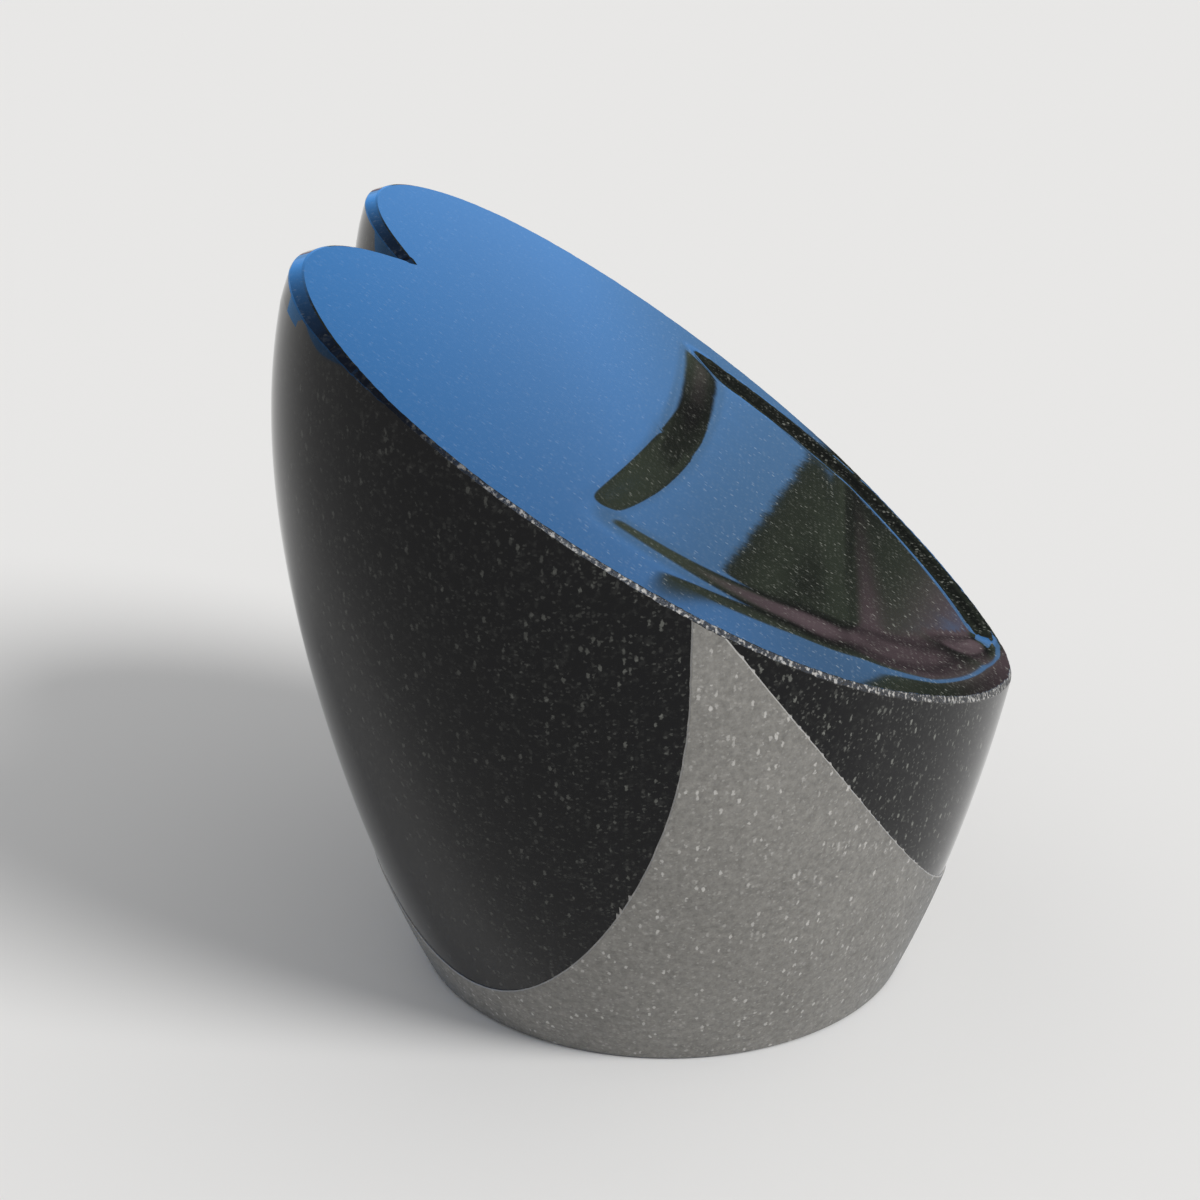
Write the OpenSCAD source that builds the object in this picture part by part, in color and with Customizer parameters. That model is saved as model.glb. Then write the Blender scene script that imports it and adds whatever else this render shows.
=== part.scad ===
// Heart-topped headstone: one solid block of dark stone.
// Origin on the ground, at the centre of the round foot. Z is up.
// X runs along the slope of the face: the heart's point is at +X and low,
// its two lobes are at -X and high. The plane Y = 0 is the plane of symmetry.

/* [Overall size] */
// Diameter of the round flat foot the stone stands on, mm
base_diameter = 240; // [205:1:285]
// Height of the slanted face above the ground, on the centre line of the foot, mm
face_height = 258; // [220:1:310]
// Slope of the face, degrees from level
face_slope = 33.6; // [27:0.2:38]

/* [Heart outline] */
// Reach of the heart's point from the centre line before the wall swells, mm
point_reach = 137; // [120:1:160]
// Radius of the rounded point, mm
point_radius = 46; // [36:1:56]
// Angle the rounded point turns through on each side of the centre plane, degrees
point_turn = 26.4; // [21:0.2:30]
// Radius of the nearly straight flanks next to the point, mm
flank_radius = 696; // [500:4:900]
// Angle each flank turns through, degrees
flank_turn = 8.8; // [7:0.2:11]
// Radius of the broad shoulders at the widest part, mm
shoulder_radius = 119; // [105:1:132]
// Angle each shoulder turns through, degrees
shoulder_turn = 99.6; // [92:0.2:106]
// Radius of the crown of each lobe, mm
lobe_radius = 86.8; // [76:0.2:98]
// Angle each crown turns through, degrees
lobe_turn = 85; // [78:0.2:92]
// Radius of the inner side of each lobe, running down to the cleft, mm
cleft_radius = 165; // [120:1:260]

/* [Wall] */
// Swell of the wall a quarter of the way up, as a multiple of the foot
swell_low = 1.214; // [1.14:0.002:1.26]
// Swell of the wall half way up
swell_middle = 1.313; // [1.25:0.002:1.37]
// Swell of the wall three quarters of the way up
swell_high = 1.317; // [1.26:0.002:1.38]
// Swell of the wall at the top
swell_top = 1.183; // [1.12:0.002:1.26]
// Height over which the round foot changes to the full heart, mm
blend_height = 341; // [300:1:400]

/* [Face] */
// Depth of the shallow basin in the lower half of the face, on the centre plane, mm
basin_depth = 4.5; // [3:0.1:6.5]
// Where the drop into the basin begins on the centre plane, mm along X
basin_start = -7.4; // [-25:0.2:10]
// Length of the drop into the basin, mm
basin_run = 21.4; // [16:0.2:36]
// Bevel of the rim round the two lobes, mm
bevel_lobes = 5.2; // [3:0.2:7]
// Bevel of the rim along the flanks and point, mm
bevel_sides = 2.2; // [1.4:0.2:3.4]

/* [Hidden] */

STONE = [0.13, 0.13, 0.14];
base_radius = base_diameter / 2;
slope_rise = tan(face_slope);
// Height to which the swell fractions refer
swell_height = face_height + point_reach * slope_rise;
// Depth of the blank below the ground line, sawn off flat
sole_allowance = 6;
// Numbers of steps: along the arcs, up the wall and across the face
POINT_STEPS = 4;
FLANK_STEPS = 6;
SHOULDER_STEPS = 15;
LOBE_STEPS = 12;
CLEFT_STEPS = 8;
WALL_STEPS = 16;
FACE_STEPS = 20;
RIM_PASSES = 14;
// The basin deepens by this much per mm toward +Y, and is shallower toward both sides
BASIN_LEAN = 0.0094;
BASIN_BOWL = 0.000075;
// The drop into the basin runs askew across the face, is bowed toward the lobes and
// grows longer toward +Y
BASIN_SKEW = 0.083;
BASIN_BOW = 0.00039;
BASIN_TAPER = 0.0016;
// Where the flat lip begins, as [X in mm, part of the way from the centre to the rim]
NEAR_LIP = [[0, 0.865], [60, 0.88], [120, 0.962]];
FAR_LIP = [[20, 0.88], [100, 0.987]];
// Parts of the way over which the floor rises to the lip, at -Y and at +Y
NEAR_RISE = 0.193;
FAR_RISE = 0.06;
// Distance from the centre plane within which the two sides blend
SIDE_BLEND = 30;
// Parts of the foot's radius between which the bevel widens toward the lobes
BEVEL_FROM = 0.72;
BEVEL_SPAN = 0.42;
// The bevel at the bottom of the cleft is cut wider by this ratio
CLEFT_MITRE = 1.4;

function smooth_step(t) = let (u = min(1, max(0, t))) u * u * (3 - 2 * u);

// One arc of the outline: state is [x, y, heading], turning to the left
function arc_end(s, r, turn) =
    [s[0] - r * sin(s[2]) + r * sin(s[2] + turn),
     s[1] + r * cos(s[2]) - r * cos(s[2] + turn),
     s[2] + turn];
function arc_run(s, r, turn, steps) =
    [for (i = [1:steps]) let (q = arc_end(s, r, turn * i / steps)) [q[0], q[1]]];

heart_start = [point_reach, 0, 90];
flank_start = arc_end(heart_start, point_radius, point_turn);
shoulder_start = arc_end(flank_start, flank_radius, flank_turn);
lobe_start = arc_end(shoulder_start, shoulder_radius, shoulder_turn);
cleft_start = arc_end(lobe_start, lobe_radius, lobe_turn);
// The inner side of the lobe ends where it meets the plane of symmetry
cleft_rise = (cleft_start[1] + cleft_radius * cos(cleft_start[2])) / cleft_radius;
cleft_turn = 360 - acos(cleft_rise) - cleft_start[2];

half_heart = concat(
    [[point_reach, 0]],
    arc_run(heart_start, point_radius, point_turn, POINT_STEPS),
    arc_run(flank_start, flank_radius, flank_turn, FLANK_STEPS),
    arc_run(shoulder_start, shoulder_radius, shoulder_turn, SHOULDER_STEPS),
    arc_run(lobe_start, lobe_radius, lobe_turn, LOBE_STEPS),
    arc_run(cleft_start, cleft_radius, cleft_turn, CLEFT_STEPS));
half_count = len(half_heart);
// The last point of the half outline is the bottom of the cleft, exactly on the plane
heart = concat(
    [for (i = [0:half_count - 2]) half_heart[i]],
    [[half_heart[half_count - 1][0], 0]],
    [for (i = [half_count - 2:-1:1]) [half_heart[i][0], -half_heart[i][1]]]);
count = len(heart);
cleft_index = half_count - 1;

// The outline in polar form, as bearing and as a multiple of the foot's radius
bearings = [for (p = heart) atan2(p[1], p[0])];
spans = [for (p = heart) norm(p) / base_radius];

// Swell of the wall at height z: one smooth curve through five equally spaced values
SWELL_KNOTS = [1, swell_low, swell_middle, swell_high, swell_top];
function weight(t, i, j = 0) =
    j > 4 ? 1 : (j == i ? 1 : (t - j) / (i - j)) * weight(t, i, j + 1);
function swell(z) = let (t = 4 * z / swell_height)
    SWELL_KNOTS[0] * weight(t, 0) + SWELL_KNOTS[1] * weight(t, 1)
    + SWELL_KNOTS[2] * weight(t, 2) + SWELL_KNOTS[3] * weight(t, 3)
    + SWELL_KNOTS[4] * weight(t, 4);
// Radius of the wall: round at the foot, the full heart at the top
function wall_radius(i, z) =
    base_radius * swell(z) * (1 + min(1, max(0, z / blend_height)) * (spans[i] - 1));
function wall_point(i, z) = let (r = wall_radius(i, z))
    [r * cos(bearings[i]), r * sin(bearings[i]), z];

// Height at which the wall meets the plane of the face
function rim_height(i, z, passes) = passes == 0 ? z :
    rim_height(i, face_height - wall_radius(i, z) * cos(bearings[i]) * slope_rise, passes - 1);
rim = [for (i = [0:count - 1]) wall_point(i, rim_height(i, face_height, RIM_PASSES))];

function bevel(x) = bevel_sides + (bevel_lobes - bevel_sides)
    * smooth_step((-x / base_radius - BEVEL_FROM) / BEVEL_SPAN);
// Inward direction of the rim, seen from above
function inward(i) =
    let (a = rim[(i + count - 1) % count],
         b = rim[(i + 1) % count],
         d = [a[1] - b[1], b[0] - a[0]])
    d / norm(d);
function face_edge(i) =
    let (b = bevel(rim[i][0]) * (i == cleft_index ? CLEFT_MITRE : 1),
         p = [rim[i][0], rim[i][1]] + inward(i) * b)
    p;
edge = [for (i = [0:count - 1]) face_edge(i)];

// The face: a plane, with the shallow basin sunk in its lower half
function between(a, b, share) = a + (b - a) * share;
function basin(x, y, part) =
    let (full = basin_depth + BASIN_LEAN * y - BASIN_BOWL * y * y,
         start = basin_start + BASIN_SKEW * y - BASIN_BOW * y * y,
         run = basin_run * (1 + BASIN_TAPER * y),
         drop = smooth_step((x - start) / run),
         side = smooth_step((y + SIDE_BLEND) / (2 * SIDE_BLEND)),
         lip = between(lookup(x, NEAR_LIP), lookup(x, FAR_LIP), side),
         rise = between(NEAR_RISE, FAR_RISE, side))
    full * drop * smooth_step((lip - part) / rise);
function face_point(i, part) =
    let (x = edge[i][0] * part, y = edge[i][1] * part)
    [x, y, face_height - x * slope_rise - basin(x, y, part)];

wall_levels = [for (j = [0:WALL_STEPS]) j / WALL_STEPS];
stone_points = concat(
    [[0, 0, -sole_allowance]],
    [for (t = wall_levels) for (i = [0:count - 1])
        let (top = rim[i][2] - bevel(rim[i][0]))
        wall_point(i, -sole_allowance + t * (top + sole_allowance))],
    [for (k = [FACE_STEPS:-1:1]) for (i = [0:count - 1]) face_point(i, k / FACE_STEPS)],
    [[0, 0, face_height - basin(0, 0, 0)]]);
ring_count = WALL_STEPS + 1 + FACE_STEPS;
last_point = ring_count * count + 1;
function ring_point(ring, i) = 1 + ring * count + i % count;
stone_faces = concat(
    [for (i = [0:count - 1]) [0, ring_point(0, i), ring_point(0, i + 1)]],
    [for (r = [0:ring_count - 2]) for (i = [0:count - 1])
        [ring_point(r, i), ring_point(r + 1, i), ring_point(r + 1, i + 1)]],
    [for (r = [0:ring_count - 2]) for (i = [0:count - 1])
        [ring_point(r, i), ring_point(r + 1, i + 1), ring_point(r, i + 1)]],
    [for (i = [0:count - 1])
        [last_point, ring_point(ring_count - 1, i + 1), ring_point(ring_count - 1, i)]]);

// The whole stone, sawn flat at the ground
module headstone() {
    reach = 4 * base_diameter;
    color(STONE)
    intersection() {
        polyhedron(points = stone_points, faces = stone_faces, convexity = 6);
        translate([-reach / 2, -reach / 2, 0])
            cube([reach, reach, reach]);
    }
}

headstone();
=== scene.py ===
"""Heart-topped headstone of black diabase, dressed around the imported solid.

The stone is one block. Its round foot and the wedges that climb between the panels are honed to a
matt grey. The two lobe panels, the point panel, the bevelled rim and the sloping face with its
shallow basin are polished.
"""
import logging
import math
from dataclasses import dataclass, field
from enum import Enum
from typing import Any, Union

import bmesh
import bpy
import numpy as np
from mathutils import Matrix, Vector, noise


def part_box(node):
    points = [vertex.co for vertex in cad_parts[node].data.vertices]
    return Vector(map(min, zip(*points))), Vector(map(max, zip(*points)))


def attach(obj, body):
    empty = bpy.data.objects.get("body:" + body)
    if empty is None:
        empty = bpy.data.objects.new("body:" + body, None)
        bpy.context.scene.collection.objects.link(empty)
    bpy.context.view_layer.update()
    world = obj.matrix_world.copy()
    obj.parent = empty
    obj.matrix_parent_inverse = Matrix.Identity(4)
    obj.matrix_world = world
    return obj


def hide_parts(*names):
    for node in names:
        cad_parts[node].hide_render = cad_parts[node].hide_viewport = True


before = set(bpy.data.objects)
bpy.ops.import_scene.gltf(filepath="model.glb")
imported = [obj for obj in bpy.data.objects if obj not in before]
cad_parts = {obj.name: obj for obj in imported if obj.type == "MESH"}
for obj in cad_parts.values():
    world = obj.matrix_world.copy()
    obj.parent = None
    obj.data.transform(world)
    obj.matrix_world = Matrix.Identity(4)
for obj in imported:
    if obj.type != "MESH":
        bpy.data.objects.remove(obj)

NODE_NAME = "headstone"
BODY_NAME = "root"
# Width of the heart, in millimetres, for which every size in this script is written
MODEL_WIDTH = 402.68

Value = Union["Wire", float, int, str, tuple, Any]


class Mark(Enum):
    """Names of the point attributes that the loft stores and the finish reads."""

    HONE = "hone"
    RIM = "rim"
    BASIN = "basin"
    WALL = "wall"
    BEARING = "bearing"
    SPAN = "span"
    RIM_POINT = "rim_point"
    EDGE_POINT = "edge_point"
    EVEN_POINT = "even_point"
    TOP = "wall_top"


# ---------------------------------------------------------------- node writing

class Wire:
    """An output socket that can be used in Python sums, in a shader or a geometry tree."""

    def __init__(self, desk: "NodeDesk", socket: bpy.types.NodeSocket) -> None:
        """Keep the socket and the desk that writes new nodes beside it."""
        self.desk = desk
        self.socket = socket

    def take(self, name: str) -> "Wire":
        """Another output of the same node, by name."""
        return Wire(self.desk, self.socket.node.outputs[name])

    def _sum(self, operation: str, *others: Value) -> "Wire":
        """One Math node on this wire and up to two more values."""
        return self.desk.math(operation, self, *others)

    def __add__(self, other: Value) -> "Wire":
        """This wire plus other."""
        return self._sum("ADD", other)

    __radd__ = __add__

    def __mul__(self, other: Value) -> "Wire":
        """This wire times other."""
        return self._sum("MULTIPLY", other)

    __rmul__ = __mul__

    def __sub__(self, other: Value) -> "Wire":
        """This wire less other."""
        return self._sum("SUBTRACT", other)

    def __rsub__(self, other: Value) -> "Wire":
        """Other less this wire."""
        return self.desk.math("SUBTRACT", other, self)

    def __truediv__(self, other: Value) -> "Wire":
        """This wire over other."""
        return self._sum("DIVIDE", other)

    def at_least(self, other: Value) -> "Wire":
        """The larger of the two."""
        return self._sum("MAXIMUM", other)

    def at_most(self, other: Value) -> "Wire":
        """The smaller of the two."""
        return self._sum("MINIMUM", other)

    def over(self, limit: Value) -> "Wire":
        """One where this wire is above limit, nought elsewhere."""
        return self._sum("GREATER_THAN", limit)

    def cosine(self) -> "Wire":
        """Cosine of this wire, in radians."""
        return self._sum("COSINE")

    def sine(self) -> "Wire":
        """Sine of this wire, in radians."""
        return self._sum("SINE")

    def exponential(self) -> "Wire":
        """E to the power of this wire."""
        return self._sum("EXPONENT")

    def ease(self, low: float, high: float) -> "Wire":
        """A smooth rise from nought at low to one at high."""
        return self.desk.node("ShaderNodeMapRange", {"interpolation_type": "SMOOTHSTEP"},
                              {"Value": self, "From Min": low, "From Max": high})


class NodeDesk:
    """Writes the nodes of one tree."""

    def __init__(self, tree: bpy.types.NodeTree) -> None:
        """Start from an empty tree."""
        self.tree = tree
        tree.nodes.clear()

    def node(self, kind: str, settings: dict[str, Any] | None = None,
             values: dict[str | int, Value] | None = None, output: str | int = 0) -> Wire:
        """Add a node.

        Args:
            kind: The node's type.
            settings: Properties of the node, set first.
            values: Numbers, colours or wires for its input sockets.
            output: The output socket that the returned wire starts from.

        Returns:
            A wire from the chosen output.
        """
        made = self.tree.nodes.new(kind)
        for name, value in (settings or {}).items():
            setattr(made, name, value)
        for key, value in (values or {}).items():
            self.feed(made.inputs[key], value)
        return Wire(self, made.outputs[output]) if made.outputs else Wire(self, made.inputs[0])

    def feed(self, socket: bpy.types.NodeSocket, value: Value) -> None:
        """Link a wire to an input socket, or write a plain value on it."""
        if isinstance(value, Wire):
            self.tree.links.new(value.socket, socket)
        elif socket.type == "RGBA" and len(value) == 3:
            socket.default_value = (*value, 1.0)
        else:
            socket.default_value = value

    def math(self, operation: str, *values: Value) -> Wire:
        """One Math node on up to three values."""
        return self.node("ShaderNodeMath", {"operation": operation}, dict(enumerate(values)))

    def vector(self, operation: str, *values: Value, output: str | int = 0) -> Wire:
        """One Vector Math node on its first inputs."""
        return self.node("ShaderNodeVectorMath", {"operation": operation}, dict(enumerate(values)),
                         output)

    def scaled(self, vector: Value, factor: Value) -> Wire:
        """A vector times a number."""
        return self.node("ShaderNodeVectorMath", {"operation": "SCALE"},
                         {"Vector": vector, "Scale": factor})

    def fractal(self, place: Value, scale: float, detail: float, roughness: float = 0.5,
                output: str | int = 0) -> Wire:
        """Fractal noise over a place."""
        return self.node("ShaderNodeTexNoise", None,
                         {"Vector": place, "Scale": scale, "Detail": detail,
                          "Roughness": roughness}, output)

    def blend(self, first: Value, second: Value, factor: Value) -> Wire:
        """A colour between two, first at nought and second at one."""
        return self.node("ShaderNodeMix", {"data_type": "RGBA"}, {0: factor, 6: first, 7: second}, 2)

    def join(self, x: Value, y: Value, z: Value) -> Wire:
        """A vector from its three parts."""
        return self.node("ShaderNodeCombineXYZ", None, {0: x, 1: y, 2: z})


# ---------------------------------------------------------------- shape of the stone

@dataclass(frozen=True)
class HeartOutline:
    """Half of the heart as tangent arcs from the point round to the cleft. Millimetres, degrees."""

    point_reach: float = 137.0
    point_radius: float = 46.0
    point_turn: float = 26.4
    flank_radius: float = 696.0
    flank_turn: float = 8.8
    shoulder_radius: float = 119.0
    shoulder_turn: float = 99.6
    lobe_radius: float = 86.8
    lobe_turn: float = 85.0
    cleft_radius: float = 165.0
    steps_per_arc: int = 160

    def half(self) -> np.ndarray:
        """Closely spaced points from the heart's point to the bottom of the cleft, Y above 0."""
        x, y, heading = self.point_reach, 0.0, math.radians(90)
        points = [(x, y)]
        arcs = [(self.point_radius, self.point_turn), (self.flank_radius, self.flank_turn),
                (self.shoulder_radius, self.shoulder_turn), (self.lobe_radius, self.lobe_turn)]
        for radius, degrees in arcs:
            x, y, heading = self._follow(points, x, y, heading, radius, math.radians(degrees))
        rise = (y + self.cleft_radius * math.cos(heading)) / self.cleft_radius
        last_turn = 2 * math.pi - math.acos(rise) - heading
        self._follow(points, x, y, heading, self.cleft_radius, last_turn)
        return np.array(points)

    def _follow(self, points: list[tuple[float, float]], x: float, y: float, heading: float,
                radius: float, turn: float) -> tuple[float, float, float]:
        """Add one arc, turning left, to the list of points.

        Returns:
            The x, y and heading at the arc's end.
        """
        for step in range(1, self.steps_per_arc + 1):
            now = heading + turn * step / self.steps_per_arc
            points.append((x + radius * (math.sin(now) - math.sin(heading)),
                           y - radius * (math.cos(now) - math.cos(heading))))
        return (*points[-1], heading + turn)

    def ring(self, half_count: int) -> np.ndarray:
        """The whole outline, evenly spaced, with a point on the tip and one in the cleft.

        Args:
            half_count: Number of steps along each half.

        Returns:
            The points, once round, starting at the heart's point.
        """
        half = self.half()
        lengths = np.concatenate([[0.0], np.cumsum(np.hypot(*np.diff(half, axis=0).T))])
        wanted = np.linspace(0.0, lengths[-1], half_count + 1)
        even = np.column_stack([np.interp(wanted, lengths, half[:, axis]) for axis in (0, 1)])
        even[-1, 1] = 0.0
        return np.vstack([even, even[-2:0:-1] * (1.0, -1.0)])


@dataclass
class StoneLoft:
    """The stone's whole skin: sole, swelling wall, bevelled rim and sloping face. Millimetres."""

    unit: float
    outline: HeartOutline = field(default_factory=HeartOutline)
    foot_radius: float = 120.0
    face_height: float = 258.0
    face_slope: float = 33.6
    swell: tuple[float, ...] = (1.0, 1.214, 1.313, 1.317, 1.183)
    blend_height: float = 341.0
    basin_depth: float = 4.5
    basin_lean: float = 0.0094
    basin_bowl: float = 0.000075
    basin_start: float = -7.4
    basin_skew: float = 0.083
    basin_bow: float = 0.00039
    basin_run: float = 21.4
    basin_taper: float = 0.0016
    near_edge: tuple[float, float, float] = (0.865, 0.88, 0.962)
    near_span: float = 60.0
    near_run: float = 0.193
    far_edge: tuple[float, float] = (0.88, 0.987)
    far_from: float = 20.0
    far_span: float = 80.0
    far_run: float = 0.06
    side_blend: float = 30.0
    ridge_place: float = 86.0
    ridge_height: float = 0.6
    ridge_width: float = 6.0
    bevel_lobes: float = 5.2
    bevel_sides: float = 2.2
    bevel_from: float = 0.72
    bevel_span: float = 0.42
    bevel_fullness: float = 0.5
    bevel_crispness: float = 0.246
    nick_size: float = 4.0
    nick_share: float = 0.9
    cleft_mitre: float = 1.4
    foot_arris: float = 1.0
    half_columns: int = 352
    sole_rows: int = 6
    wall_rows: int = 62
    bevel_rows: int = 3
    face_rows: int = 52
    height_passes: int = 14

    @property
    def rise(self) -> float:
        """Fall of the face over one unit of X."""
        return math.tan(math.radians(self.face_slope))

    def swell_terms(self) -> np.ndarray:
        """Terms of the quartic that runs through the five swell values, constant first."""
        swell_height = self.face_height + self.outline.point_reach * self.rise
        heights = np.linspace(0.0, swell_height, len(self.swell))
        return np.polyfit(heights, self.swell, len(self.swell) - 1)[::-1]

    def outline_object(self) -> bpy.types.Object:
        """A loose ring of vertices, one for each column of the loft."""
        ring = self.outline.ring(self.half_columns)
        mesh = bpy.data.meshes.new(NODE_NAME)
        mesh.from_pydata([(x, y, 0.0) for x, y in ring], [], [])
        made = bpy.data.objects.new("outline", mesh)
        bpy.context.scene.collection.objects.link(made)
        return made

    def inputs(self) -> dict[str, float | int]:
        """Sizes of the loft by the names of the tree's input sockets."""
        terms = self.swell_terms()
        named = {f"Swell term {power}": float(term) for power, term in enumerate(terms)}
        named |= {"Foot radius": self.foot_radius, "Face height": self.face_height,
                  "Face rise": self.rise, "Blend height": self.blend_height,
                  "Basin depth": self.basin_depth, "Basin lean": self.basin_lean,
                  "Basin bowl": self.basin_bowl, "Basin start": self.basin_start,
                  "Basin skew": self.basin_skew, "Basin bow": self.basin_bow,
                  "Basin run": self.basin_run, "Basin taper": self.basin_taper,
                  "Near run": self.near_run, "Far run": self.far_run,
                  "Ridge place": self.ridge_place, "Ridge height": self.ridge_height,
                  "Ridge width": self.ridge_width,
                  "Bevel at lobes": self.bevel_lobes,
                  "Bevel at sides": self.bevel_sides, "Bevel fullness": self.bevel_fullness,
                  "Foot arris": self.foot_arris, "Scale": self.unit / 1000.0,
                  "Columns": 2 * self.half_columns, "Sole rows": self.sole_rows,
                  "Wall rows": self.wall_rows, "Bevel rows": self.bevel_rows,
                  "Face rows": self.face_rows, "Height passes": self.height_passes}
        return named

    def tree(self, material: bpy.types.Material) -> bpy.types.NodeTree:
        """Write the geometry tree that lofts the skin over the ring of outline points."""
        group = bpy.data.node_groups.new("stone_loft", "GeometryNodeTree")
        group.interface.new_socket("Geometry", in_out="INPUT", socket_type="NodeSocketGeometry")
        for name, value in self.inputs().items():
            kind = "NodeSocketInt" if isinstance(value, int) else "NodeSocketFloat"
            group.interface.new_socket(name, in_out="INPUT", socket_type=kind)
        group.interface.new_socket("Geometry", in_out="OUTPUT", socket_type="NodeSocketGeometry")
        desk = NodeDesk(group)
        given = desk.node("NodeGroupInput")
        outline = self._measure_outline(desk, given)
        skin = self._lay_skin(desk, given, outline)
        joined = desk.node("GeometryNodeMergeByDistance", None,
                           {"Geometry": skin, "Distance": 1e-6})
        smooth = desk.node("GeometryNodeSetShadeSmooth", None, {"Geometry": joined})
        real = desk.node("GeometryNodeRealizeInstances", None, {"Geometry": smooth})
        dressed = desk.node("GeometryNodeSetMaterial", None,
                            {"Geometry": real, "Material": material})
        desk.node("NodeGroupOutput", None, {"Geometry": dressed})
        return group

    def _wall_radius(self, desk: NodeDesk, given: Wire, span: Wire, height: Wire) -> Wire:
        """Radius of the wall at a height: round at the foot, the full heart at the top."""
        swell = given.take("Swell term 4")
        for power in (3, 2, 1, 0):
            swell = swell * height + given.take(f"Swell term {power}")
        share = (height / given.take("Blend height")).at_least(0.0).at_most(1.0)
        return given.take("Foot radius") * swell * (share * (span - 1.0) + 1.0)

    def _store(self, desk: NodeDesk, geometry: Wire, mark: Mark, value: Wire,
               kind: str = "FLOAT") -> Wire:
        """Store a value on every point under a mark's name."""
        return desk.node("GeometryNodeStoreNamedAttribute", {"data_type": kind, "domain": "POINT"},
                         {"Geometry": geometry, "Name": mark.value, "Value": value})

    def _stored(self, desk: NodeDesk, mark: Mark, kind: str = "FLOAT") -> Wire:
        """Read a stored value back."""
        return desk.node("GeometryNodeInputNamedAttribute", {"data_type": kind},
                         {"Name": mark.value})

    def _sample(self, desk: NodeDesk, geometry: Wire, value: Wire, index: Wire,
                kind: str = "FLOAT") -> Wire:
        """The value at one point of a geometry, by its index."""
        return desk.node("GeometryNodeSampleIndex", {"data_type": kind, "domain": "POINT"},
                         {"Geometry": geometry, "Value": value, "Index": index})

    def _measure_outline(self, desk: NodeDesk, given: Wire) -> Wire:
        """Store each column's bearing, span, rim point, face edge points and wall top."""
        position = desk.node("GeometryNodeInputPosition")
        parts = desk.node("ShaderNodeSeparateXYZ", None, {0: position})
        bearing = desk.math("ARCTAN2", parts.take("Y"), parts.take("X"))
        span = desk.vector("LENGTH", position, output="Value") / given.take("Foot radius")
        ring = self._store(desk, given, Mark.BEARING, bearing)
        ring = self._store(desk, ring, Mark.SPAN, span)
        bearing = self._stored(desk, Mark.BEARING)
        span = self._stored(desk, Mark.SPAN)
        height = self._rim_height(desk, given, bearing, span)
        radius = self._wall_radius(desk, given, span, height)
        rim = desk.join(radius * bearing.cosine(), radius * bearing.sine(), height)
        ring = self._store(desk, ring, Mark.RIM_POINT, rim, "FLOAT_VECTOR")
        rim = self._stored(desk, Mark.RIM_POINT, "FLOAT_VECTOR")
        index = desk.node("GeometryNodeInputIndex")
        count = given.take("Columns")
        before = self._sample(desk, ring, rim, desk.math("FLOORED_MODULO", index - 1.0, count),
                              "FLOAT_VECTOR")
        after = self._sample(desk, ring, rim, desk.math("FLOORED_MODULO", index + 1.0, count),
                             "FLOAT_VECTOR")
        along = desk.node("ShaderNodeSeparateXYZ", None, {0: desk.vector("SUBTRACT", after, before)})
        inward = desk.vector("NORMALIZE", desk.join(0.0 - along.take("Y"), along.take("X"), 0.0))
        x_place = desk.node("ShaderNodeSeparateXYZ", None, {0: rim}, "X")
        toward_lobes = (0.0 - x_place) / given.take("Foot radius")
        widening = toward_lobes.ease(self.bevel_from, self.bevel_from + self.bevel_span)
        bevel = given.take("Bevel at sides") + widening * (
            given.take("Bevel at lobes") - given.take("Bevel at sides"))
        nicks = desk.fractal(rim, 1.0 / self.nick_size, 2.0)
        in_cleft = 1.0 + (self.cleft_mitre - 1.0) * desk.math("ABSOLUTE", bearing).ease(
            math.pi - 0.02, math.pi - 0.002)
        even = desk.vector("ADD", rim, desk.scaled(inward, bevel * in_cleft))
        ring = self._store(desk, ring, Mark.EVEN_POINT, even, "FLOAT_VECTOR")
        bevel = bevel * (1.0 + (nicks - 0.5) * self.nick_share * (1.0 - widening))
        edge = desk.vector("ADD", rim, desk.scaled(inward, bevel * in_cleft))
        ring = self._store(desk, ring, Mark.EDGE_POINT, edge, "FLOAT_VECTOR")
        return self._store(desk, ring, Mark.TOP, height - bevel)

    def _rim_height(self, desk: NodeDesk, given: Wire, bearing: Wire, span: Wire) -> Wire:
        """Height at which the wall meets the plane of the face, found by repeated passes."""
        group = desk.tree
        start = group.nodes.new("GeometryNodeRepeatInput")
        end = group.nodes.new("GeometryNodeRepeatOutput")
        start.pair_with_output(end)
        end.repeat_items.clear()
        end.repeat_items.new("FLOAT", "Height")
        desk.feed(start.inputs["Iterations"], given.take("Height passes"))
        desk.feed(start.inputs["Height"], given.take("Face height"))
        height = Wire(desk, start.outputs["Height"])
        radius = self._wall_radius(desk, given, span, height)
        lower = given.take("Face height") - radius * bearing.cosine() * given.take("Face rise")
        desk.feed(end.inputs["Height"], lower)
        return Wire(desk, end.outputs["Height"])

    def _lay_skin(self, desk: NodeDesk, given: Wire, outline: Wire) -> Wire:
        """Bend a grid into the skin: columns round the stone, rows from the sole to the face."""
        sole, wall = given.take("Sole rows"), given.take("Wall rows")
        bevel, face = given.take("Bevel rows"), given.take("Face rows")
        rows = sole + wall + bevel + face + 1.0
        grid = desk.node("GeometryNodeMeshGrid", None,
                         {"Vertices X": given.take("Columns") + 1.0, "Vertices Y": rows})
        index = desk.node("GeometryNodeInputIndex")
        row = desk.math("FLOORED_MODULO", index, rows)
        column = desk.math("FLOORED_MODULO", desk.math("FLOOR", (index + 0.5) / rows),
                           given.take("Columns"))

        def read(mark: Mark, kind: str = "FLOAT") -> Wire:
            return self._sample(desk, outline, self._stored(desk, mark, kind), column, kind)

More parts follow.
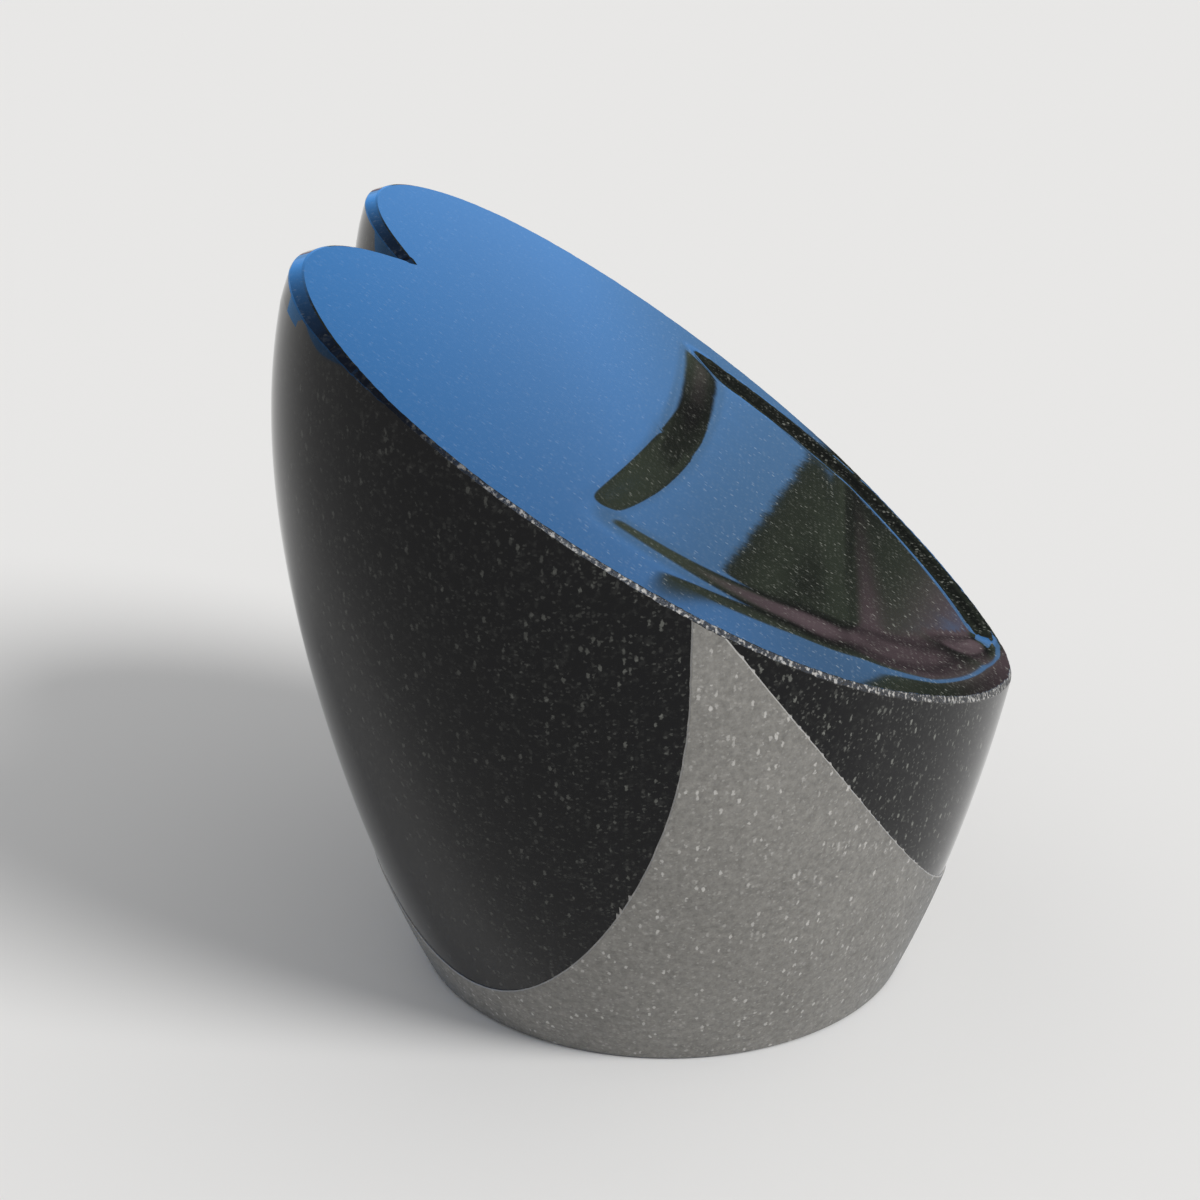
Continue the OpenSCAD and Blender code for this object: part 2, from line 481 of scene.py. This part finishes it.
        bearing, span, top = read(Mark.BEARING), read(Mark.SPAN), read(Mark.TOP)
        rim, edge = read(Mark.RIM_POINT, "FLOAT_VECTOR"), read(Mark.EDGE_POINT, "FLOAT_VECTOR")
        even = read(Mark.EVEN_POINT, "FLOAT_VECTOR")
        around = desk.join(bearing.cosine(), bearing.sine(), 0.0)

        def share(first: Wire | float, count: Wire) -> Wire:
            return ((row - first) / count).at_least(0.0).at_most(1.0)

        arris = given.take("Foot arris")
        sole_part = desk.scaled(around, (given.take("Foot radius") - arris) * share(0.0, sole - 1.0))
        height = arris + share(sole, wall) * (top - arris)
        radius = self._wall_radius(desk, given, span, height)
        wall_part = desk.vector("ADD", desk.scaled(around, radius), desk.join(0.0, 0.0, height))
        bevel_step = share(sole + wall, bevel)
        bevel_share = bevel_step - self.bevel_crispness * (2.0 * math.pi * bevel_step).sine()
        face_share = share(sole + wall + bevel, face)
        depth, face_part = self._face_point(desk, given, edge, even, face_share)
        bevel_part = self._bevel_point(desk, given, wall_part, rim, edge, bevel_share)
        place = desk.node("ShaderNodeMix", {"data_type": "VECTOR"},
                          {0: row.over(sole - 0.5), 4: sole_part, 5: wall_part}, 1)
        place = desk.node("ShaderNodeMix", {"data_type": "VECTOR"},
                          {0: row.over(sole + wall + 0.5), 4: place, 5: bevel_part}, 1)
        place = desk.node("ShaderNodeMix", {"data_type": "VECTOR"},
                          {0: row.over(sole + wall + bevel - 0.5), 4: place, 5: face_part}, 1)
        skin = self._store(desk, grid, Mark.RIM,
                           (bevel_step * 3.0).at_most(3.0 - bevel_step * 3.0).at_most(1.0))
        skin = self._store(desk, skin, Mark.BASIN, depth / given.take("Basin depth"))
        below_face = 1.0 - row.over(sole + wall + bevel - 0.5)
        on_wall = row.over(sole - 0.5) * (1.0 - bevel_share) * below_face
        skin = self._store(desk, skin, Mark.WALL, on_wall)
        return desk.node("GeometryNodeSetPosition", None,
                         {"Geometry": skin, "Position": desk.scaled(place, given.take("Scale"))})

    def _face_point(self, desk: NodeDesk, given: Wire, edge: Wire, even: Wire,
                    face_share: Wire) -> tuple[Wire, Wire]:
        """A point of the sloping face, and how deep the basin is there.

        Args:
            desk: Where the nodes are written.
            given: The tree's inputs.
            edge: Edge of the face, with its nicks.
            even: Edge of the face without nicks, which the inner rows follow.
            face_share: Part of the way from the edge to the centre.

        Returns:
            The depth of the basin and the place of the point.
        """
        part = 1.0 - face_share
        nicked = desk.scaled(desk.vector("SUBTRACT", edge, even), part.ease(0.96, 1.0))
        flat = desk.node("ShaderNodeSeparateXYZ", None,
                         {0: desk.vector("ADD", desk.scaled(even, part), nicked)})
        along, across = flat.take("X"), flat.take("Y")
        full = (given.take("Basin depth") + given.take("Basin lean") * across
                - given.take("Basin bowl") * across * across)
        start = (given.take("Basin start") + given.take("Basin skew") * across
                 - given.take("Basin bow") * across * across)
        run = given.take("Basin run") * (1.0 + given.take("Basin taper") * across)
        drop = ((along - start) / run.at_least(6.0)).ease(0.0, 1.0)
        first, second, third = self.near_edge
        spans = along / self.near_span
        near = (first + (second - first) * spans.at_least(0.0).at_most(1.0)
                + (third - second) * (spans - 1.0).at_least(0.0).at_most(1.0))
        first, second = self.far_edge
        spans = along / self.far_span - self.far_from / self.far_span
        far = first + (second - first) * spans.at_least(0.0).at_most(1.0)
        far_side = across.ease(-self.side_blend, self.side_blend)
        rim_edge = near + (far - near) * far_side
        rim_run = given.take("Near run") + (given.take("Far run") - given.take("Near run")) * far_side
        within = ((rim_edge - part) / rim_run).ease(0.0, 1.0)
        off_ridge = (along - given.take("Ridge place")) / given.take("Ridge width")
        ridge = given.take("Ridge height") * (-0.5 * off_ridge * off_ridge).exponential()
        depth = (full * drop - ridge) * within
        height = given.take("Face height") - flat.take("X") * given.take("Face rise") - depth
        return depth, desk.join(flat.take("X"), flat.take("Y"), height)

    def _bevel_point(self, desk: NodeDesk, given: Wire, top: Wire, corner: Wire, edge: Wire,
                     share: Wire) -> Wire:
        """A point on the rounded bevel between the top of the wall and the edge of the face."""
        spread = desk.node("ShaderNodeSeparateXYZ", None, {0: edge})
        height = given.take("Face height") - spread.take("X") * given.take("Face rise")
        edge = desk.join(spread.take("X"), spread.take("Y"), height)
        middle = desk.node("ShaderNodeMix", {"data_type": "VECTOR"}, {0: 0.5, 4: top, 5: edge}, 1)
        pull = desk.node("ShaderNodeMix", {"data_type": "VECTOR"},
                         {0: given.take("Bevel fullness"), 4: middle, 5: corner}, 1)
        first = desk.node("ShaderNodeMix", {"data_type": "VECTOR"}, {0: share, 4: top, 5: pull}, 1)
        second = desk.node("ShaderNodeMix", {"data_type": "VECTOR"}, {0: share, 4: pull, 5: edge}, 1)
        return desk.node("ShaderNodeMix", {"data_type": "VECTOR"}, {0: share, 4: first, 5: second}, 1)

    def build(self, material: bpy.types.Material) -> bpy.types.Object:
        """Run the tree and return the stone as a plain mesh object."""
        ring = self.outline_object()
        modifier = ring.modifiers.new("stone_loft", "NODES")
        modifier.node_group = self.tree(material)
        sizes = self.inputs()
        for item in modifier.node_group.interface.items_tree:
            if item.in_out == "INPUT" and item.name in sizes:
                modifier[item.identifier] = sizes[item.name]
        ring.update_tag()
        bpy.context.view_layer.update()
        evaluated = ring.evaluated_get(bpy.context.evaluated_depsgraph_get())
        mesh = bpy.data.meshes.new_from_object(evaluated)
        ring.modifiers.clear()
        bpy.data.objects.remove(ring)
        made = bpy.data.objects.new("headstone_skin", mesh)
        bpy.context.scene.collection.objects.link(made)
        return made


@dataclass
class PolishedPanels:
    """The panels ground and polished a little deeper than the honed wall. Millimetres, degrees."""

    unit: float
    lobe_bearing: float = 128.0
    lobe_half_width: float = 44.2
    cleft_widening: float = 14.0
    cleft_rise: tuple[float, float] = (50.0, 150.0)
    lobe_spring: float = 208.0
    lobe_bottom: float = 26.4
    point_bottom: float = 48.0
    point_spread: float = 0.0289
    sink: float = 0.8
    arris: float = 0.7
    chip_size: float = 3.0
    chip_depth: float = 0.5
    crease: float = 4.5
    snap_share: float = 0.16
    off_wall: float = -1000.0

    def lobe_edge(self, bearing: float, height: float, radius: float) -> float:
        """Distance inside a lobe panel, which is an upright half ellipse; negative outside it."""
        off = abs(bearing) - self.lobe_bearing
        half_width = self.lobe_half_width
        if off > 0.0:
            low, high = self.cleft_rise
            share = min(1.0, max(0.0, (height - low) / (high - low)))
            half_width += self.cleft_widening * share * share * (3.0 - 2.0 * share)
        off /= half_width
        below = max(0.0, self.lobe_spring - height) / (self.lobe_spring - self.lobe_bottom)
        reach = math.hypot(off, below)
        wide = math.radians(half_width) * radius
        tall = self.lobe_spring - self.lobe_bottom
        if reach < 1e-6:
            return wide
        slope = math.hypot(off / wide, below / tall) / reach
        return (1.0 - reach) / max(slope, 1e-6)

    def point_edge(self, bearing: float, height: float, radius: float) -> float:
        """Distance inside the panel round the heart's point, above a parabola; negative below it."""
        lift = height - self.point_bottom - self.point_spread * bearing * bearing
        lean = 2.0 * self.point_spread * bearing / (math.radians(1.0) * radius)
        return lift / math.hypot(1.0, lean)

    def depth_in(self, place: Vector) -> float:
        """Distance in millimetres by which a point of the wall lies inside a polished panel."""
        scale = 1000.0 / self.unit
        x, y, z = place.x * scale, place.y * scale, place.z * scale
        bearing = math.degrees(math.atan2(y, x))
        radius = math.hypot(x, y)
        inside = max(self.lobe_edge(bearing, z, radius), self.point_edge(bearing, z, radius))
        chips = noise.noise(Vector((x, y, z)) / self.chip_size)
        return inside - self.chip_depth * max(0.0, chips)

    def cut(self, stone: bpy.types.Object) -> None:
        """Score the wall along the panels' edges, sink the panels and store the honed mark."""
        work = bmesh.new()
        work.from_mesh(stone.data)
        wall = work.verts.layers.float[Mark.WALL.value]
        hone = work.verts.layers.float.new(Mark.HONE.value)
        inside = work.verts.layers.float.new("inside")
        for vertex in work.verts:
            vertex[inside] = self.depth_in(vertex.co) if vertex[wall] > 0.0 else self.off_wall
        self._score(work, inside, wall, 0.0)
        self._score(work, inside, wall, self.arris)
        work.normal_update()
        step = self.sink * self.unit / 1000.0
        moves = []
        for vertex in work.verts:
            within = min(1.0, max(0.0, vertex[inside] / self.arris))
            vertex[hone] = 1.0 - within
            aside = Vector((vertex.normal.x, vertex.normal.y, 0.0))
            moves.append((vertex, aside.normalized() * -step * (within * vertex[wall])))
        for vertex, move in moves:
            vertex.co += move
        work.to_mesh(stone.data)
        work.free()
        stone.data.set_sharp_from_angle(angle=math.radians(self.crease))
        sunk = stone.data.attributes[Mark.BASIN.value].data
        for edge in stone.data.edges:
            if any(sunk[index].value != 0.0 for index in edge.vertices):
                edge.use_edge_sharp = False

    def _score(self, work: bmesh.types.BMesh, inside: Any, wall: Any, level: float) -> None:
        """Cut every face that a level of the distance runs through along that level."""
        near = self.snap_share
        for edge in list(work.edges):
            one, two = edge.verts
            if min(one[wall], two[wall]) <= 0.0:
                continue
            a, b = one[inside] - level, two[inside] - level
            if a * b >= 0.0:
                continue
            share = a / (a - b)
            if share < near and one[inside] != 0.0:
                one.co, one[inside] = one.co.lerp(two.co, share), level
            elif share > 1.0 - near and two[inside] != 0.0:
                two.co, two[inside] = one.co.lerp(two.co, share), level
        fresh = []
        for edge in list(work.edges):
            one, two = edge.verts
            if min(one[wall], two[wall]) <= 0.0:
                continue
            a, b = one[inside] - level, two[inside] - level
            if a * b < 0.0:
                share = a / (a - b)
                both = one[wall] + (two[wall] - one[wall]) * share
                _, made = bmesh.utils.edge_split(edge, one, share)
                made[inside], made[wall] = level, both
                fresh.append(made)
        for face in list(work.faces):
            on_level = [v for v in face.verts if abs(v[inside] - level) < 1e-7 and v[wall] > 0.0]
            if len(on_level) != 2:
                continue
            one, two = on_level
            if not any(one in e.verts and two in e.verts for e in face.edges):
                bmesh.utils.face_split(face, one, two)


# ---------------------------------------------------------------- finishes

@dataclass(frozen=True)
class Diabase:
    """Black diabase: near black and glossy where polished, warm matt grey where honed."""

    polished: tuple[float, float, float] = (0.0042, 0.0043, 0.0050)
    honed: tuple[float, float, float] = (0.142, 0.137, 0.127)
    honed_pale: tuple[float, float, float] = (0.265, 0.258, 0.240)
    fleck_polished: tuple[float, float, float] = (0.16, 0.165, 0.15)
    fleck_honed: tuple[float, float, float] = (0.46, 0.45, 0.43)
    # Pale colour for the panel edges, and for the painted glint on the chipped near-side bevel
    pale_edge_and_glint_colour: tuple[float, float, float] = (0.46, 0.45, 0.43)
    gloss_roughness: float = 0.035
    hone_roughness: float = 0.62
    index_of_refraction: float = 1.5
    specular_level: float = 0.16
    # Reach along X of the chipped near-side bevel, which also carries the painted glint
    chipped_and_glint_reach: tuple[float, float] = (-0.10, -0.02)
    # Scales of the patterns, each in cycles over a metre
    warp_scale: float = 800.0
    fleck_scale: float = 430.0
    speck_scale: float = 760.0
    grain_scale: float = 900.0
    mottle_scale: float = 330.0
    cloud_scale: float = 26.0
    # Size of the painted glint spots on the near-side bevel
    painted_glint_scale: float = 560.0
    ripple_scale: float = 45.0
    pebble_scale: float = 260.0
    chip_scale: float = 700.0
    # Reach of the warp and heights of the fine relief, metres
    warp_reach: float = 0.0016
    grain_height: float = 0.00006
    fleck_height: float = 0.00003
    chip_height: float = 0.0006
    ripple_height: float = 0.000008
    hand_ripple_height: float = 0.00003
    pebble_height: float = 0.000006

    def material(self) -> bpy.types.Material:
        """Write the stone's material."""
        made = bpy.data.materials.new("diabase")
        made.use_nodes = True
        desk = NodeDesk(made.node_tree)
        place = desk.node("ShaderNodeTexCoord", output="Object")
        hone = self._mark(desk, Mark.HONE)
        rim = self._mark(desk, Mark.RIM)
        basin = self._mark(desk, Mark.BASIN)
        wall = self._mark(desk, Mark.WALL)
        honed = (hone * wall.over(0.98)).at_most(1.0)
        arris = (4.0 * hone * (1.0 - hone)).ease(0.15, 0.7) * wall.over(0.98)
        warp = desk.fractal(place, self.warp_scale, 1.0, output="Color")
        bent = desk.vector("ADD", place, desk.scaled(desk.vector("SUBTRACT", warp, (0.5,) * 3),
                                                     self.warp_reach))
        fleck = self._flecks(desk, bent, self.fleck_scale, (1.0, 1.0, 0.5), 0.72, 0.42)
        small = self._flecks(desk, bent, self.speck_scale, (0.6, 1.0, 0.8), 0.50, 0.46)
        grain = desk.fractal(place, self.grain_scale, 3.0, 0.6)
        mottle = desk.fractal(bent, self.mottle_scale, 2.0, 0.6)
        cloud = desk.fractal(place, self.cloud_scale, 4.0, 0.55)
        along = desk.node("ShaderNodeSeparateXYZ", None, {0: place}, "X")
        # Chipped near-side bevel: rougher and bumped, and also lightened with a painted glint
        chipped_and_glint_rim = rim * along.ease(*self.chipped_and_glint_reach)
        toward_point = 0.25 + 0.6 * along.ease(-0.08, 0.10)
        handwork = basin * (1.0 - 0.8 * along.ease(0.06, 0.11))
        # Painted glint: pale noise spots on the near-side bevel that stand in for sparkle of light
        painted_glint = desk.fractal(place, self.painted_glint_scale, 3.0).ease(0.50, 0.66)
        grey = desk.blend(self.honed, self.honed_pale,
                          (grain * 0.9 + mottle * 1.4 + cloud * 0.5 - 0.98).at_least(0.0).at_most(1.0))
        grey = desk.blend(grey, self.fleck_honed, (fleck * 0.85 + small * 0.3).at_most(1.0))
        specks = (fleck + small * 0.5) * toward_point + mottle.ease(0.5, 0.8) * 0.08
        black = desk.blend(self.polished, self.fleck_polished, specks.at_most(1.0))
        colour = desk.blend(black, grey, honed)
        # Pale line along the panel edges, a faint lightening of the chips, and painted glint spots on
        # the near-side bevel
        pale_edges_and_painted_glint = arris * 0.6 + chipped_and_glint_rim * (0.06 + painted_glint * 0.75)
        colour = desk.blend(colour, self.pale_edge_and_glint_colour, pale_edges_and_painted_glint.at_most(1.0))
        roughness = (self.gloss_roughness + honed * (self.hone_roughness - self.gloss_roughness)
                     + rim * 0.05 + chipped_and_glint_rim * 0.25 + arris * 0.3)
        bump = self._relief(desk, place, honed, chipped_and_glint_rim, handwork, grain, fleck)
        desk.node("ShaderNodeOutputMaterial", None, {"Surface": desk.node(
            "ShaderNodeBsdfPrincipled", None,
            {"Base Color": colour, "Roughness": roughness, "IOR": self.index_of_refraction,
             "Specular IOR Level": self.specular_level, "Normal": bump})})
        return made

    @staticmethod
    def _mark(desk: NodeDesk, mark: Mark) -> Wire:
        """Read one of the stored marks as a number."""
        return desk.node("ShaderNodeAttribute", {"attribute_type": "GEOMETRY",
                                                 "attribute_name": mark.value}, None, "Fac")

    @staticmethod
    def _flecks(desk: NodeDesk, place: Wire, scale: float, stretch: tuple[float, float, float],
                rarity: float, size: float) -> Wire:
        """Scattered light mineral grains: some cells of a Voronoi pattern, near their centres."""
        cells = desk.node("ShaderNodeTexVoronoi", {"feature": "F1"},
                          {"Vector": desk.vector("MULTIPLY", place, stretch), "Scale": scale,
                           "Randomness": 1.0})
        pick = desk.node("ShaderNodeSeparateColor", None, {0: cells.take("Color")}, "Red")
        return pick.ease(rarity, 1.0) * (1.0 - cells.take("Distance").ease(size * 0.5, size))

    def _relief(self, desk: NodeDesk, place: Wire, honed: Wire, chipped_and_glint_rim: Wire, handwork: Wire,
                grain: Wire, fleck: Wire) -> Wire:
        """Fine relief: grain where honed, chipped bevel, faint ripple left by hand polishing."""
        ripple = desk.fractal(place, self.ripple_scale, 1.0, 0.4)
        pebble = desk.fractal(place, self.pebble_scale, 1.0)
        chips = desk.fractal(place, self.chip_scale, 2.0, 0.7)
        height = (grain * honed * self.grain_height + fleck * honed * self.fleck_height
                  + chips * chipped_and_glint_rim * self.chip_height
                  + ripple * (self.ripple_height + self.hand_ripple_height * handwork)
                  + pebble * handwork * self.pebble_height)
        return desk.node("ShaderNodeBump", None,
                         {"Strength": 1.0, "Distance": 1.0, "Height": height})


@dataclass(frozen=True)
class PaleFloor:
    """The plain pale ground the stone stands on."""

    colour: tuple[float, float, float] = (0.8, 0.8, 0.8)

    def material(self) -> bpy.types.Material:
        """Write the floor's material."""
        made = bpy.data.materials.new("pale_floor")
        made.use_nodes = True
        desk = NodeDesk(made.node_tree)
        desk.node("ShaderNodeOutputMaterial", None, {"Surface": desk.node(
            "ShaderNodeBsdfPrincipled", None, {"Base Color": self.colour, "Roughness": 0.9,
                                               "Specular IOR Level": 0.0})})
        return made


# ---------------------------------------------------------------- studio

@dataclass
class Studio:
    """Floor, soft light and camera. Metres and degrees."""

    floor_half: float = 9.0
    dome_level: float = 0.56
    key_level: float = 2.4
    key_spread: float = 22.0
    key_from: tuple[float, float, float] = (0.69, -0.38, 0.62)
    # The mirrored skyline: its lowest level, then each change as (from, to, rise), degrees
    skyline_base: float = -6.0
    skyline_steps: tuple[tuple[float, float, float], ...] = (
        (-30.0, -8.0, 12.4), (90.0, 115.0, -12.4), (11.0, 14.0, -1.0), (16.0, 18.0, 5.4),
        (18.0, 22.0, -8.1), (22.0, 23.0, 5.0), (22.5, 26.0, 90.0), (45.0, 70.0, -90.0))
    skyline_unevenness: float = 1.2
    uneven_scale: float = 9.0
    canopy_height: float = 19.0
    canopy_drop: float = 6.0
    sky_horizon: tuple[float, float, float] = (0.34, 0.76, 1.45)
    sky_low: tuple[float, float, float] = (0.44, 1.15, 2.5)
    sky_middle: tuple[float, float, float] = (0.35, 1.28, 3.1)
    sky_zenith: tuple[float, float, float] = (0.10, 0.22, 0.50)
    dusk_low: tuple[float, float, float] = (0.40, 0.29, 0.32)
    dusk_high: tuple[float, float, float] = (0.20, 0.25, 0.17)
    dusk_deep: tuple[float, float, float] = (0.02, 0.02, 0.02)
    camera_place: tuple[float, float, float] = (0.0492055, -0.8993449, 0.5237648)
    camera_azimuth: float = 5.13
    camera_pitch: float = 21.14
    lens: float = 60.94
    sensor: float = 36.0

    def build(self) -> None:
        """Set up the whole studio."""
        self._floor()
        self._world()
        self._lamps()
        self._camera()
        bpy.context.scene.view_settings.view_transform = "Standard"

    def _floor(self) -> None:
        """A wide pale floor at the height of the stone's foot."""
        reach = self.floor_half
        mesh = bpy.data.meshes.new("floor")
        mesh.from_pydata([(-reach, -reach, 0), (reach, -reach, 0), (reach, reach, 0),
                          (-reach, reach, 0)], [], [(0, 1, 2, 3)])
        mesh.materials.append(PaleFloor().material())
        floor = bpy.data.objects.new("floor", mesh)
        bpy.context.scene.collection.objects.link(floor)

    def _world(self) -> None:
        """A soft dome: pale light for matt surfaces, a cool sky for the polish to mirror."""
        world = bpy.data.worlds.new("dome")
        bpy.context.scene.world = world
        world.use_nodes = True
        desk = NodeDesk(world.node_tree)
        ray = desk.node("ShaderNodeTexCoord", output="Generated")
        parts = desk.node("ShaderNodeSeparateXYZ", None, {0: ray})
        height = desk.math("ARCSINE", parts.take("Z")) * math.degrees(1.0)
        turn = desk.math("ARCTAN2", parts.take("X"), parts.take("Y")) * math.degrees(1.0)
        uneven = desk.fractal(ray, self.uneven_scale, 3.0)
        skyline = self.skyline_base + (uneven - 0.5) * self.skyline_unevenness
        for start, end, rise in self.skyline_steps:
            skyline = skyline + rise * turn.ease(start, end)
        sky = desk.blend(self.sky_horizon, self.sky_low, height.ease(6.5, 10.5))
        sky = desk.blend(sky, self.sky_middle, height.ease(10.5, 18.0))
        sky = desk.blend(sky, self.sky_zenith, height.ease(24.0, 70.0))
        dusk = desk.blend(self.dusk_low, self.dusk_high, height.ease(2.6, 4.4))
        dusk = desk.blend(self.dusk_deep, dusk, uneven.ease(0.25, 0.6))
        above = height - self.canopy_height + self.canopy_drop * turn.ease(15.0, 18.0)
        canopy = above.ease(-1.0, 1.0) * turn.ease(-6.0, 2.0) * (1.0 - turn.ease(45.0, 70.0))
        clear = (height - skyline).ease(-0.5, 0.5) * (1.0 - canopy)
        mirrored = desk.blend(dusk, sky, clear)
        glossy = desk.node("ShaderNodeLightPath", output="Is Glossy Ray")
        dome = self.dome_level * (0.85 + 0.4 * parts.take("X").ease(-0.2, 1.0))
        colour = desk.blend(desk.join(dome, dome, dome), mirrored, glossy)
        desk.node("ShaderNodeOutputWorld", None, {"Surface": desk.node(
            "ShaderNodeBackground", None, {"Color": colour, "Strength": 1.0})})

    def _lamps(self) -> None:
        """One soft key, high on the right and a little in front."""
        data = bpy.data.lights.new("key", "SUN")
        data.energy = self.key_level
        data.angle = math.radians(self.key_spread)
        data.color = (1.0, 0.985, 0.96)
        lamp = bpy.data.objects.new("key", data)
        lamp.rotation_euler = (-Vector(self.key_from)).to_track_quat("-Z", "Y").to_euler()
        bpy.context.scene.collection.objects.link(lamp)

    def _camera(self) -> None:
        """A level camera that looks down on the stone from its near side."""
        data = bpy.data.cameras.new("camera")
        data.sensor_width = self.sensor
        data.lens = self.lens
        data.clip_start = 0.02
        data.clip_end = 100.0
        camera = bpy.data.objects.new("camera", data)
        camera.location = self.camera_place
        camera.rotation_euler = (math.radians(90.0 - self.camera_pitch), 0.0,
                                 math.radians(self.camera_azimuth))
        bpy.context.scene.collection.objects.link(camera)
        bpy.context.scene.camera = camera


def main() -> None:
    """Build the headstone's skin, dress it and set up the studio."""
    logging.basicConfig(level=logging.INFO, format="%(message)s")
    log = logging.getLogger("headstone")
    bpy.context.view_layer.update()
    low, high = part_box(NODE_NAME)
    unit = (high.y - low.y) * 1000.0 / MODEL_WIDTH
    material = Diabase().material()
    stone = StoneLoft(unit=unit).build(material)
    PolishedPanels(unit=unit).cut(stone)
    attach(stone, BODY_NAME)
    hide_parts(NODE_NAME)
    log.info("%s: %d faces", stone.name, len(stone.data.polygons))
    Studio().build()


if __name__ == "__main__":
    main()
